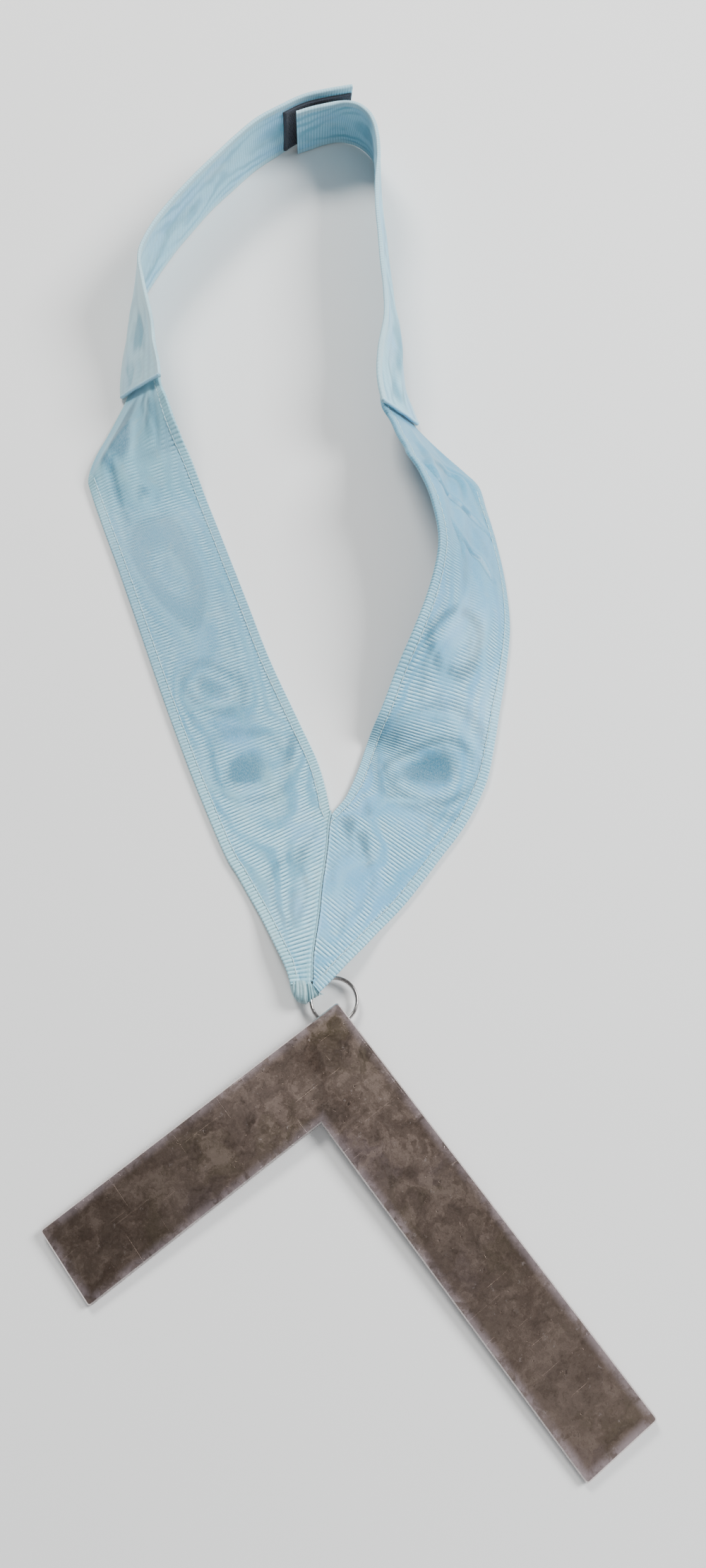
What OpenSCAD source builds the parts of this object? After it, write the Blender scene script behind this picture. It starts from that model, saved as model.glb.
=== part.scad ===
// Masonic collar jewel, laid down: a silver-plated square hangs by a split ring
// from a sky-blue watered ribbon collarette with a hook-and-loop neck strap.
// Millimetres. The table is z = 0, +Y runs from the square to the neck strap,
// and the origin is at the middle of the floor the whole jewel covers.

/* [Square] */
// Width of the square's arms
arm_w = 22.3; // [18:0.1:26]
// Outer length of the short arm
short_arm = 93.8; // [70:0.1:100]
// Outer length of the long arm
long_arm = 125.4; // [100:0.1:130]
// Thickness of the metal
plate_t = 2; // [1.2:0.1:2.4]
// Rounding of the corners seen from the front
corner_r = 0.9; // [0.5:0.1:2]
// Worn bevel round both faces
bevel = 0.35; // [0.1:0.05:0.45]

/* [Split ring] */
// Radius to the middle of the ring's wire
ring_r = 6.2; // [5.8:0.1:6.4]
// Diameter of the ring's wire
ring_wire = 0.88; // [0.7:0.02:0.92]

/* [Ribbon] */
// Width of the watered ribbon of the two legs
leg_w = 34.5; // [33:0.1:35]
// Width of the neck straps
strap_w = 25; // [23:0.1:25.4]
// Thickness of the lined ribbon
leg_t = 1.5; // [1:0.1:1.6]
// Thickness of the neck straps
strap_t = 1.4; // [1:0.1:1.5]

/* [Fastening] */
// Thickness of the hook pad and of the loop pad
pad_t = 1.3; // [1:0.1:1.3]
// Air between a pad and the ribbon it is sewn to
pad_gap = 0.1; // [0.05:0.05:0.2]

/* [Hidden] */

// Middle of the covered floor, in the frame that the tables below use
floor_mid = [-6.98, 181.82, 0];

// Apex of the square, the way its short arm points, and how it leans back
apex = [-4.0, 72.1];
square_turn = 217.7;
apex_lift = 3.3;
drop_short = 1.73;
drop_long = 1.2;

// Middle of the split ring and the height of its two turns
ring_mid = [-5.0, 73.1];
ring_low = 1.2;
ring_slit_at = -28;
slits_apart = 34;
ring_slit = 0.35;
turns_sink = 0.03;
bail_wire = 1.0;
bail_r = 1.36;
bail_lift = 0.02;
bail_in_plate = 0.5;

// The loop of ribbon that holds the ring below the tip of the V
knob_mid = [-13.4, 75.0];
knob_r = 3.1;
knob_top = 4.9;
tab_turn = 81;
tab_w = 5.6;
tongue_t = 1.0;
tongue_flat = 9;
tongue_end = 12;
tongue_rise = 0.7;
ring_room = 0.15;

// Underside of the V's tip, and the room cut for it: the corner that the left leg
// covers and the corner that the right leg covers
tip_under = 3.0;
tip_room_left = [-22, 76.4];
tip_room_right = [-11.4, 73.6];
tip_room_size = [20, 20, 5];

// Which way each side leans: left rows rise to the right, right rows to the left
LEFT = 1;
RIGHT = -1;

// A row is one cross-section of a ribbon, from its outer edge on the table:
// x, y      place of the outer edge
// heading   the way the ribbon runs, in degrees clockwise from +Y
// lean      0 lies flat, 90 stands on the outer edge
// share     width of the section as a share of the ribbon's width
// lift      height of the outer edge above the table
// bow       how far the middle stands proud of a straight section
LEG_LEFT = [
    // x,     y,     heading, lean, share, lift, bow
    [ -16.8,    76.9,   -1.0,    0, 0.162, 3.2,  0.2],
    [ -17.7,    80.0,   -9.0,    0, 0.193, 3.2,  0.2],
    [ -19.2,    83.5,  -15.0,    0, 0.244, 3.2,  0.2],
    [ -21.3,    87.7,  -20.0,    0, 0.337, 2.7,  0.2],
    [ -23.7,    92.6,  -24.0,    0, 0.450, 1.6,  0.2],
    [ -26.4,    97.8,  -26.5,    0, 0.564, 0.5,  0.2],
    [ -29.6,   103.4,  -27.2,    0, 0.705,   0,  0.2],
    [ -33.0,   109.3,  -27.2,    0, 0.841,   0,  0.2],
    [ -36.3,   114.7,  -26.5,    0, 0.956,   0,  0.1],
    [ -42.5,   128.5,  -23.5,    0, 1.031,   0,    0],
    [ -48.7,   143.2,  -21.5,    0, 1.028,   0,    0],
    [ -57.4,   165.5,  -21.0,    0, 0.997,   0,  0.3],
    [ -65.7,   187.9,  -20.5,    0, 0.994,   0,  0.4],
    [ -74.1,   210.4,  -20.5,    0, 0.992,   0,  0.3],
    [ -80.0,   225.6,  -20.5,    1, 0.994,   0,  0.4],
    [ -84.7,   238.4,  -18.5,   11, 0.996,   0,  1.2],
    [ -86.0,   244.0,  -15.0,   17, 0.984,   0,  1.6],
    [ -84.3,   252.2,   -8.0,   27, 0.909,   0,  1.2],
    [ -81.0,   260.6,    0.0,   37, 0.816,   0,  0.8],
    [ -78.1,   268.6,   12.0,   45, 0.748,   0,  0.3],
    [ -75.6,   276.6,   20.0,   48, 0.610,   0,    0],
    [ -75.2,   283.0,   10.0,   53, 0.536,   0,    0]
];
LEG_RIGHT = [
    // x,     y,     heading, lean, share, lift, bow
    [  -8.9,    74.8,   50.0,    0, 0.078, 3.2,  0.2],
    [  -6.4,    77.3,   42.0,    0, 0.166, 3.2,  0.2],
    [  -3.7,    80.2,   41.0,    0, 0.259, 3.1,  0.2],
    [  -1.4,    82.8,   41.0,    0, 0.328, 2.8,  0.2],
    [   1.1,    85.5,   41.0,    0, 0.400, 2.3,  0.2],
    [   4.0,    88.7,   40.5,    0, 0.491, 1.5,  0.2],
    [   7.1,    92.3,   40.0,    0, 0.590, 0.6,  0.2],
    [  10.7,    96.1,   39.5,    0, 0.693, 0.1,  0.2],
    [  14.8,   100.7,   39.5,    0, 0.818,   0,  0.2],
    [  19.1,   106.2,   38.5,    0, 0.944,   0,    0],
    [  24.7,   113.8,   36.0,    0, 0.955,   0,    0],
    [  32.4,   124.4,   31.0,    0, 1.032,   0,    0],
    [  38.7,   137.0,   21.0,    1, 1.069,   0,    0],
    [  41.7,   149.5,   12.0,   12, 1.030,   0,  0.3],
    [  43.8,   161.3,   10.0, 20.4, 1.000,   0,  0.8],
    [  45.9,   173.1,    9.5, 33.1, 1.000,   0,  0.8],
    [  47.8,   188.9,    3.0, 42.3, 1.000,   0,  0.4],
    [  47.1,   204.9,   -5.0,   50, 1.000,   0,    0],
    [  44.8,   220.6,  -10.0,   51, 1.000,   0, -0.4],
    [  42.2,   232.9,  -12.0, 48.8, 1.000,   0, -0.6],
    [  40.3,   241.0,  -14.0,   46, 1.027,   0, -0.6],
    [  36.1,   246.3,  -17.0, 46.5, 0.900,   0, -0.4],
    [  29.9,   253.1,  -20.0, 48.5, 0.763,   0, -0.2],
    [  23.9,   260.1,  -23.0,   52, 0.625,   0,    0],
    [  19.0,   266.8,  -26.0,   55, 0.560,   0,    0],
    [  16.2,   274.5,  -20.0, 60.5, 0.450,   0,    0]
];
STRAP_LEFT = [
    // x,     y,     heading, lean, share, lift, bow
    [ -78.0,   277.2,   26.0, 48.3, 1.110,   0,  0.2],
    [ -78.4,   282.9,    8.0, 54.3, 1.020,   0,  0.2],
    [ -78.3,   292.4,    4.0, 58.7, 1.000,   0,  0.3],
    [ -77.6,   301.5,    4.0, 66.5, 1.000,   0,  0.4],
    [ -77.3,   309.4,    8.0, 71.5, 1.000,   0,  0.4],
    [ -75.9,   316.0,   15.0, 77.5, 1.000,   0,  0.2],
    [ -73.3,   322.5,   21.5,   82, 1.000,   0,    0],
    [ -69.1,   332.4,   24.5, 83.3, 1.000,   0,    0],
    [ -63.9,   343.2,   27.0, 82.1, 1.000,   0,    0],
    [ -57.9,   353.6,   30.5, 81.1, 1.000,   0,    0],
    [ -51.6,   363.8,   34.0, 79.7, 1.000,   0,    0],
    [ -44.3,   373.4,   37.5, 80.3, 1.000,   0,    0],
    [ -37.0,   382.7,   39.5, 79.5, 1.000,   0,    0],
    [ -28.1,   391.1,   43.0,   77, 1.000,   0,    0],
    [ -24.0,   395.0,   51.0, 75.5, 1.000,   0,    0],
    [ -19.1,   398.2,   60.0, 74.5, 1.000,   0,    0],
    [ -13.5,   400.4,   67.0,   74, 1.000,   0,    0],
    [  -7.8,   402.2,   71.0, 73.5, 1.000,   0,    0],
    [  -2.6,   403.4,   74.0, 73.5, 1.000,   0,    0]
];
STRAP_RIGHT = [
    // x,     y,     heading, lean, share, lift, bow
    [  21.4,   266.5,  -27.0, 54.9, 0.970,   0,  0.2],
    [  19.5,   272.6,  -18.0, 59.8, 1.000,   0,  0.4],
    [  17.2,   280.3,  -11.0, 67.9, 1.000,   0,  0.6],
    [  16.3,   290.8,   -2.0, 75.4, 1.000,   0,  0.6],
    [  15.8,   302.8,   -4.0, 76.4, 1.000,   0,  0.4],
    [  14.2,   314.6,   -7.0,   78, 1.000,   0,  0.2],
    [  13.1,   326.6,   -5.0, 79.1, 1.000,   0,    0],
    [  12.0,   338.5,   -4.5, 79.9, 1.000,   0,    0],
    [  11.1,   350.6,   -3.5,   82, 1.000,   0,    0],
    [   9.4,   362.5,   -3.0, 87.8, 1.000,   0,    0],
    [   8.1,   372.8,   -5.0, 89.5, 1.000,   0,    0],
    [   8.2,   380.2,  -14.0, 85.6, 1.000,   0,    0],
    [   7.9,   386.4,  -30.0, 79.7, 1.000,   0,    0],
    [   5.1,   391.8,  -47.0, 75.7, 1.000,   0,    0],
    [   0.5,   396.0,  -64.0, 71.3, 1.000,   0,    0],
    [  -5.4,   397.8,  -86.0, 68.8, 1.000,   0,    0],
    [ -11.4,   396.4,  -97.0, 69.1, 1.000,   0,    0],
    [ -16.6,   393.9,  -96.0, 70.4, 1.000,   0,    0],
    [ -21.0,   391.8,  -94.0, 70.4, 1.000,   0,    0]
];

// A fold is a soft ridge, or a valley where its height is below zero:
// row       the row of the ribbon's table where its middle lies
// across    its place across the section, 0 at the outer edge and 1 at the inner
// length    how far it runs each way, in rows
// breadth   how broad it is, as a share of the section
// height    how far it stands proud, in millimetres
// slant     how far it moves across for each row it runs
LEG_LEFT_FOLDS = [
    // row, across, length, breadth, height, slant
    [16.6,  0.22,   1.4,   0.12,    1.3,  0.10],
    [17.4,  0.55,   1.6,   0.10,   -0.9,  0.03],
    [15.0,  0.40,   1.6,   0.14,    0.9,  0.02],
    [12.5,  0.70,   2.2,   0.16,    0.6,  0]
];
LEG_RIGHT_FOLDS = [
    // row, across, length, breadth, height, slant
    [17.0,  0.50,   1.6,   0.10,   -1.2, -0.12],
    [19.6,  0.45,   2.2,   0.10,   -1.5, -0.13],
    [20.2,  0.70,   2.4,   0.08,    1.3, -0.06],
    [15.6,  0.30,   1.6,   0.12,    0.9, -0.08]
];
STRAP_RIGHT_FOLDS = [
    // row, across, length, breadth, height, slant
    [ 2.6,  0.35,   1.6,   0.09,    1.2, -0.02],
    [ 3.0,  0.62,   1.8,   0.10,   -1.0,  0.02]
];
STRAP_LEFT_FOLDS = [
    // row, across, length, breadth, height, slant
    [ 2.2,  0.30,   1.6,   0.16,    0.8,  0]
];

// Sections between two rows, and cells across a section
steps = 3;
leg_cells = 10;
strap_cells = 8;
pad_cells = 4;

// Where the pads sit on the straps: rows from and to, places across from and to
HOOK_ROWS = [13.2, 17.9];
LOOP_ROWS = [15.2, 17.7];
PAD_ACROSS = [0.06, 0.88];

// Catmull-Rom blend of four neighbouring rows
function blend_rows(a, b, c, d, t) =
    0.5 * (2 * b + (c - a) * t + (2 * a - 5 * b + 4 * c - d) * t * t
           + (3 * b - a - 3 * c + d) * t * t * t);

// The row of a table at any place along it, such as 3.4
function row_at(rows, s) =
    let (last = len(rows) - 1, i = min(floor(s), last - 1))
    blend_rows(rows[max(i - 1, 0)], rows[i], rows[i + 1], rows[min(i + 2, last)], s - i);

// Folds die away in the stiff hem of the outer edge, which is this share of the width
hem_share = 0.1;

function fold_height(folds, s, u) =
    let (each_fold = [for (f = folds)
        f[4] * exp(-pow((s - f[0]) / f[2], 2))
             * exp(-pow((u - f[1] - f[5] * (s - f[0])) / f[3], 2))])
    min(1, u / hem_share) * (each_fold * [for (f = folds) 1]);

// A point of a ribbon: s along its rows, u across it, v off its middle surface
function ribbon_point(rows, folds, side, full_w, thick, s, u, v) =
    let (
        r = row_at(rows, s),
        lean = max(r[3], 0),
        lift = max(r[5], 0),
        inward = side * [cos(r[2]), -sin(r[2]), 0],
        across = inward * cos(lean) + [0, 0, sin(lean)],
        proud = -inward * sin(lean) + [0, 0, cos(lean)],
        off = v + 4 * r[6] * u * (1 - u) + fold_height(folds, s, u)
    )
    [r[0], r[1], lift + thick / 2 * cos(lean)] + across * (u * r[4] * full_w) + proud * off;

// Faces of a closed slab of (rows_n + 1) x (cells + 1) points on two sheets
function slab_faces(rows_n, cells) =
    let (w = cells + 1, sheet = (rows_n + 1) * w)
    concat(
        [for (i = [0:rows_n - 1]) for (j = [0:cells - 1])
            each [[i * w + j, (i + 1) * w + j, i * w + j + 1],
                  [i * w + j + 1, (i + 1) * w + j, (i + 1) * w + j + 1]]],
        [for (i = [0:rows_n - 1]) for (j = [0:cells - 1])
            each [[sheet + i * w + j, sheet + i * w + j + 1, sheet + (i + 1) * w + j],
                  [sheet + i * w + j + 1, sheet + (i + 1) * w + j + 1, sheet + (i + 1) * w + j]]],
        [for (i = [0:rows_n - 1]) for (edge = [[0, 1], [cells, -1]])
            let (a = i * w + edge[0], b = a + w, quad = [a, sheet + a, sheet + b, b])
            each edge[1] > 0
                ? [[quad[0], quad[1], quad[2]], [quad[0], quad[2], quad[3]]]
                : [[quad[0], quad[2], quad[1]], [quad[0], quad[3], quad[2]]]],
        [for (j = [0:cells - 1]) for (edge = [[0, -1], [rows_n * w, 1]])
            let (a = edge[0] + j, b = a + 1, quad = [a, sheet + a, sheet + b, b])
            each edge[1] > 0
                ? [[quad[0], quad[1], quad[2]], [quad[0], quad[2], quad[3]]]
                : [[quad[0], quad[2], quad[1]], [quad[0], quad[3], quad[2]]]]
    );

function flipped(faces) = [for (f = faces) [f[0], f[2], f[1]]];

// A stretch of ribbon between two rows, two places across and two depths
module ribbon(rows, folds, side, full_w, thick, span, across, depth, cells) {
    count = ceil((span[1] - span[0]) * steps);
    sheets = [for (v = [depth[1], depth[0]]) for (i = [0:count]) for (j = [0:cells])
        ribbon_point(rows, folds, side, full_w, thick,
                     span[0] + (span[1] - span[0]) * i / count,
                     across[0] + (across[1] - across[0]) * j / cells, v)];
    faces = slab_faces(count, cells);
    polyhedron(points = sheets, faces = side > 0 ? faces : flipped(faces));
}

module whole_ribbon(rows, folds, side, full_w, thick, cells) {
    ribbon(rows, folds, side, full_w, thick, [0, len(rows) - 1], [0, 1],
           [-thick / 2, thick / 2], cells);
}

module placed() {
    translate(-floor_mid) children();
}

// Corners of the square: middle of the rounding and first angle; the fourth is
// the sharp inner corner
function square_corners() =
    let (r = corner_r, w = arm_w, s = short_arm, l = long_arm)
    [[r, r, 180], [s - r, r, 270], [s - r, w - r, 0], [w, w], [w - r, l - r, 0], [r, l - r, 90]];

corner_steps = 4;

// The outline of the square drawn in by a little, as points
function square_outline(inset) = [
    for (c = square_corners())
        each len(c) == 2
            ? [[c[0] - inset, c[1] - inset]]
            : [for (k = [0:corner_steps])
                let (a = c[2] + 90 * k / corner_steps)
                [c[0] + (corner_r - inset) * cos(a), c[1] + (corner_r - inset) * sin(a)]]
];

// Each face of the square is two flat arms that meet on the mitre of the corner
function arm_faces() =
    let (k = corner_steps, mid = k / 2, inner = 3 * (k + 1), last = inner + 2 * (k + 1))
    [[for (i = [mid:inner]) i], [for (i = [inner:last]) i, for (i = [0:mid]) i]];

module bevelled_plate() {
    levels = [[0, bevel], [bevel, 0], [plate_t - bevel, 0], [plate_t, bevel]];
    n = len(square_outline(0));
    points = [for (lv = levels) for (p = square_outline(lv[1])) [p[0], p[1], lv[0]]];
    walls = [for (k = [0:2]) for (i = [0:n - 1])
        let (j = (i + 1) % n) [k * n + i, (k + 1) * n + i, (k + 1) * n + j, k * n + j]];
    back = arm_faces();
    front = [for (f = arm_faces()) [for (i = [len(f) - 1:-1:0]) 3 * n + f[i]]];
    polyhedron(points = points, faces = concat(walls, back, front));
}

module on_square() {
    translate([apex[0], apex[1], apex_lift]) rotate([0, 0, square_turn])
        rotate([-drop_long, 0, 0]) rotate([0, drop_short, 0]) children();
}

// The small wire bail soldered under the corner, which the ring passes through
module bail() {
    top = apex_lift + bail_in_plate;
    mid_z = bail_wire / 2 + bail_r + bail_lift;
    translate([ring_mid[0], ring_mid[1] - ring_r, mid_z]) {
        rotate([90, 0, 90]) rotate([0, 0, 180])
            rotate_extrude(angle = 180, $fn = 48) translate([bail_r, 0]) circle(d = bail_wire, $fn = 24);
        for (end = [-1, 1]) translate([0, end * bail_r, 0])
            cylinder(d = bail_wire, h = top - mid_z, $fn = 24);
    }
}

module square_plate() {
    color([0.43, 0.39, 0.36]) placed() union() {
        on_square() bevelled_plate();
        bail();
    }
}

module split_ring() {
    turn_gap = ring_wire - turns_sink;
    color([0.80, 0.80, 0.79]) placed()
        translate([ring_mid[0], ring_mid[1], ring_low + ring_wire / 2]) difference() {
            for (z = [0, turn_gap]) translate([0, 0, z])
                rotate_extrude($fn = 96) translate([ring_r, 0]) circle(d = ring_wire, $fn = 20);
            rotate([0, 0, ring_slit_at]) translate([0, -ring_slit / 2, turn_gap / 2])
                cube([ring_r + ring_wire, ring_slit, ring_wire]);
            rotate([0, 0, ring_slit_at + slits_apart]) translate([0, -ring_slit / 2, turn_gap / 2 - ring_wire])
                cube([ring_r + ring_wire, ring_slit, ring_wire]);
        }
}

// Side view of the loop: a round bead with a tongue that runs back under the V
module tab_side() {
    bead_r = knob_top / 2;
    translate([0, bead_r]) circle(r = bead_r, $fn = 40);
    polygon([[0, 0], [tongue_flat, 0], [tongue_end, tongue_rise],
             [tongue_end, tongue_rise + tongue_t], [tongue_flat, tongue_t], [0, tongue_t]]);
}

module tip_tab() {
    hole = ring_wire + 2 * ring_room;
    hole_h = 2 * ring_wire - turns_sink + 2 * ring_room;
    tongue_top = tongue_rise + tongue_t;
    color([0.62, 0.71, 0.72]) placed() difference() {
        translate([knob_mid[0], knob_mid[1], 0]) rotate([0, 0, tab_turn]) {
            intersection() {
                rotate([90, 0, 0]) linear_extrude(height = 2 * knob_r, center = true) tab_side();
                union() {
                    cylinder(r = knob_r, h = knob_top, $fn = 48);
                    translate([0, -tab_w / 2, 0]) cube([tongue_end, tab_w, tongue_top]);
                }
            }
        }
        translate([ring_mid[0], ring_mid[1], ring_low - ring_room]) rotate_extrude($fn = 96)
            translate([ring_r - hole / 2, 0]) square([hole, hole_h]);
        tip_room();
    }
}

// Room for the tip of the V, which lies on the back half of the bead
module tip_room() {
    for (corner = [tip_room_left, tip_room_right])
        translate([corner[0], corner[1], tip_under]) cube(tip_room_size);
}

module ribbon_left() {
    color([0.66, 0.80, 0.86]) placed()
        whole_ribbon(LEG_LEFT, LEG_LEFT_FOLDS, LEFT, leg_w, leg_t, leg_cells);
}

module ribbon_right() {
    color([0.66, 0.80, 0.86]) placed()
        whole_ribbon(LEG_RIGHT, LEG_RIGHT_FOLDS, RIGHT, leg_w, leg_t, leg_cells);
}

module strap_left() {
    color([0.70, 0.80, 0.84]) placed()
        whole_ribbon(STRAP_LEFT, STRAP_LEFT_FOLDS, LEFT, strap_w, strap_t, strap_cells);
}

module strap_right() {
    color([0.70, 0.80, 0.84]) placed()
        whole_ribbon(STRAP_RIGHT, STRAP_RIGHT_FOLDS, RIGHT, strap_w, strap_t, strap_cells);
}

// The hook pad lies on the inner face of the left strap
module hook_pad() {
    face = strap_t / 2 + pad_gap;
    color([0.10, 0.12, 0.17]) placed()
        ribbon(STRAP_LEFT, STRAP_LEFT_FOLDS, LEFT, strap_w, strap_t, HOOK_ROWS, PAD_ACROSS,
               [-face - pad_t, -face], pad_cells);
}

// The loop pad lies on the outer face of the right strap
module loop_pad() {
    face = strap_t / 2 + pad_gap;
    color([0.12, 0.14, 0.19]) placed()
        ribbon(STRAP_RIGHT, STRAP_RIGHT_FOLDS, RIGHT, strap_w, strap_t, LOOP_ROWS, PAD_ACROSS,
               [face, face + pad_t], pad_cells);
}

square_plate();  // square
split_ring();
tip_tab();
ribbon_left();
ribbon_right();
strap_left();
strap_right();
hook_pad();
loop_pad();
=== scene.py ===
import math
from functools import reduce

import bpy
import numpy as np
from mathutils import Matrix


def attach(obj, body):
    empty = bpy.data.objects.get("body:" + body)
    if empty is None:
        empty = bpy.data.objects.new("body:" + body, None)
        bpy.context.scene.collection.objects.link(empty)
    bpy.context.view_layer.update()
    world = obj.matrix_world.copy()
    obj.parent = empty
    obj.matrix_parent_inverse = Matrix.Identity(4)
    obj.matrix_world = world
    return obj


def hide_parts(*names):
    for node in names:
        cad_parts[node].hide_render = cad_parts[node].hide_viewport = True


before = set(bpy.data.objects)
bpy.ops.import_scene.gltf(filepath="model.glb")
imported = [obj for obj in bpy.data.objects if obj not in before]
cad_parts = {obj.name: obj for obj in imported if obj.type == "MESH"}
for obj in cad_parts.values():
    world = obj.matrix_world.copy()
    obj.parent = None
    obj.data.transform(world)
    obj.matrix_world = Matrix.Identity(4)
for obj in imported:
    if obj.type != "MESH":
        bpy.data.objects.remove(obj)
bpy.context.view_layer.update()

MM = 0.001
# Middle of the covered floor in the frame of the tables below, in millimetres
FLOOR_MID = np.array([-6.98, 181.82, 0])


# The camera, at the photograph's viewing angle, with its place in the frame of the tables
TILT = math.radians(67.23)
ROLL = math.radians(0.11)
FOCAL_PX = 1725.0
PHOTO_HEIGHT = 2222
CAMERA_AT = [0, 0, 327]


def set_up(name, data, at, right, up, back):
    """A camera or light at a place in metres, turned so that it looks away from back."""
    ob = bpy.data.objects.new(name, data)
    bpy.context.collection.objects.link(ob)
    turned = np.eye(4)
    turned[:3] = np.stack([right, up, back, at], 1)
    ob.matrix_world = Matrix(turned.tolist())
    return ob


def photo_camera():
    data = bpy.data.cameras.new("camera")
    data.sensor_fit = "VERTICAL"
    data.sensor_height = 24.0
    data.lens = FOCAL_PX / PHOTO_HEIGHT * data.sensor_height
    data.clip_start = 0.01
    data.clip_end = 20.0
    look = np.array([0.0, math.cos(TILT), -math.sin(TILT)])
    right = np.array([1, 0, 0])
    up = np.cross(right, look)
    c, s = math.cos(ROLL), math.sin(ROLL)
    at = (np.array(CAMERA_AT) - FLOOR_MID) * MM
    bpy.context.scene.camera = set_up("camera", data, at, c * right + s * up, -s * right + c * up, -look)


photo_camera()


def table(text):
    """Rows of numbers."""
    return [[float(x) for x in line.split()] for line in text.strip().split("\n")]


def paths(ahead, text):
    """Rows of some numbers ahead and then the points of a path."""
    return [[*row[:ahead], np.reshape(row[ahead:], (-1, 2))] for row in table(text)]


# The ribbons' rows, as in the part's source: x, y, heading, lean, share, lift and bow, in millimetres and
# degrees. A row that stops early has share 1, lift 0 and bow 0.
LEG_LEFT = table("""
-16.8 76.9 -1 0 0.162 3.2 0.2
-17.7 80 -9 0 0.193 3.2 0.2
-19.2 83.5 -15 0 0.244 3.2 0.2
-21.3 87.7 -20 0 0.337 2.7 0.2
-23.7 92.6 -24 0 0.45 1.6 0.2
-26.4 97.8 -26.5 0 0.564 0.5 0.2
-29.6 103.4 -27.2 0 0.705 0 0.2
-33 109.3 -27.2 0 0.841 0 0.2
-36.3 114.7 -26.5 0 0.956 0 0.1
-42.5 128.5 -23.5 0 1.031
-48.7 143.2 -21.5 0 1.028
-57.4 165.5 -21 0 0.997 0 0.3
-65.7 187.9 -20.5 0 0.994 0 0.4
-74.1 210.4 -20.5 0 0.992 0 0.3
-80 225.6 -20.5 1 0.994 0 0.4
-84.7 238.4 -18.5 11 0.996 0 1.2
-86 244 -15 17 0.984 0 1.6
-84.3 252.2 -8 27 0.909 0 1.2
-81 260.6 0 37 0.816 0 0.8
-78.1 268.6 12 45 0.748 0 0.3
-75.6 276.6 20 48 0.61
-75.2 283 10 53 0.536
""")
LEG_RIGHT = table("""
-8.9 74.8 50 0 0.078 3.2 0.2
-6.4 77.3 42 0 0.166 3.2 0.2
-3.7 80.2 41 0 0.259 3.1 0.2
-1.4 82.8 41 0 0.328 2.8 0.2
1.1 85.5 41 0 0.4 2.3 0.2
4 88.7 40.5 0 0.491 1.5 0.2
7.1 92.3 40 0 0.59 0.6 0.2
10.7 96.1 39.5 0 0.693 0.1 0.2
14.8 100.7 39.5 0 0.818 0 0.2
19.1 106.2 38.5 0 0.944
24.7 113.8 36 0 0.955
32.4 124.4 31 0 1.032
38.7 137 21 1 1.069
41.7 149.5 12 12 1.03 0 0.3
43.8 161.3 10 20.4 1 0 0.8
45.9 173.1 9.5 33.1 1 0 0.8
47.8 188.9 3 42.3 1 0 0.4
47.1 204.9 -5 50
44.8 220.6 -10 51 1 0 -0.4
42.2 232.9 -12 48.8 1 0 -0.6
40.3 241 -14 46 1.027 0 -0.6
36.1 246.3 -17 46.5 0.9 0 -0.4
29.9 253.1 -20 48.5 0.763 0 -0.2
23.9 260.1 -23 52 0.625
19 266.8 -26 55 0.56
16.2 274.5 -20 60.5 0.45
""")
STRAP_LEFT = table("""
-78 277.2 26 48.3 1.11 0 0.2
-78.4 282.9 8 54.3 1.02 0 0.2
-78.3 292.4 4 58.7 1 0 0.3
-77.6 301.5 4 66.5 1 0 0.4
-77.3 309.4 8 71.5 1 0 0.4
-75.9 316 15 77.5 1 0 0.2
-73.3 322.5 21.5 82
-69.1 332.4 24.5 83.3
-63.9 343.2 27 82.1
-57.9 353.6 30.5 81.1
-51.6 363.8 34 79.7
-44.3 373.4 37.5 80.3
-37 382.7 39.5 79.5
-28.1 391.1 43 77
-24 395 51 75.5
-19.1 398.2 60 74.5
-13.5 400.4 67 74
-7.8 402.2 71 73.5
-2.6 403.4 74 73.5
""")
STRAP_RIGHT = table("""
21.4 266.5 -27 54.9 0.97 0 0.2
19.5 272.6 -18 59.8 1 0 0.4
17.2 280.3 -11 67.9 1 0 0.6
16.3 290.8 -2 75.4 1 0 0.6
15.8 302.8 -4 76.4 1 0 0.4
14.2 314.6 -7 78 1 0 0.2
13.1 326.6 -5 79.1
12 338.5 -4.5 79.9
11.1 350.6 -3.5 82
9.4 362.5 -3 87.8
8.1 372.8 -5 89.5
8.2 380.2 -14 85.6
7.9 386.4 -30 79.7
5.1 391.8 -47 75.7
0.5 396 -64 71.3
-5.4 397.8 -86 68.8
-11.4 396.4 -97 69.1
-16.6 393.9 -96 70.4
-21 391.8 -94 70.4
""")
# The folds: row, share across, length in rows, breadth, height and slant
LEG_LEFT_FOLDS = table("""
16.6 0.22 1.4 0.12 1.3 0.1
17.4 0.55 1.6 0.1 -0.9 0.03
15 0.4 1.6 0.14 0.9 0.02
12.5 0.7 2.2 0.16 0.6 0
""")
LEG_RIGHT_FOLDS = table("""
17 0.5 1.6 0.1 -1.2 -0.12
19.6 0.45 2.2 0.1 -1.5 -0.13
20.2 0.7 2.4 0.08 1.3 -0.06
15.6 0.3 1.6 0.12 0.9 -0.08
""")
STRAP_RIGHT_FOLDS = table("""
2.6 0.35 1.6 0.09 1.2 -0.02
3 0.62 1.8 0.1 -1 0.02
""")
STRAP_LEFT_FOLDS = [[2.2, 0.3, 1.6, 0.16, 0.8, 0]]

ROW_REST = [0, 0, 0, 0, 1, 0, 0]
LEG_W, LEG_T = 34.5, 1.5
STRAP_W, STRAP_T = 25.0, 1.4
RIB = 1.06  # from one rib of the ribbon to the next
LEFT, RIGHT = 1, -1
HEM = 2.85  # from an edge to its line of stitches
HEM_SHARE = 0.1  # the share across over which a fold rises from an edge
NARROW = 8.0  # a ribbon narrower than this has narrower hems


def smooth(a, b, x):
    """From 0 at a to 1 at b, with no kink."""
    t = np.clip((np.asarray(x, float) - a) / (b - a), 0, 1)
    return t * t * (3 - 2 * t)


def narrowed(wide):
    return np.minimum(1, wide / NARROW)


def rib_wave(along):
    """0 on a rib and 1 between two ribs."""
    return 0.5 - 0.5 * np.cos(math.tau * along / RIB)


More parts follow.
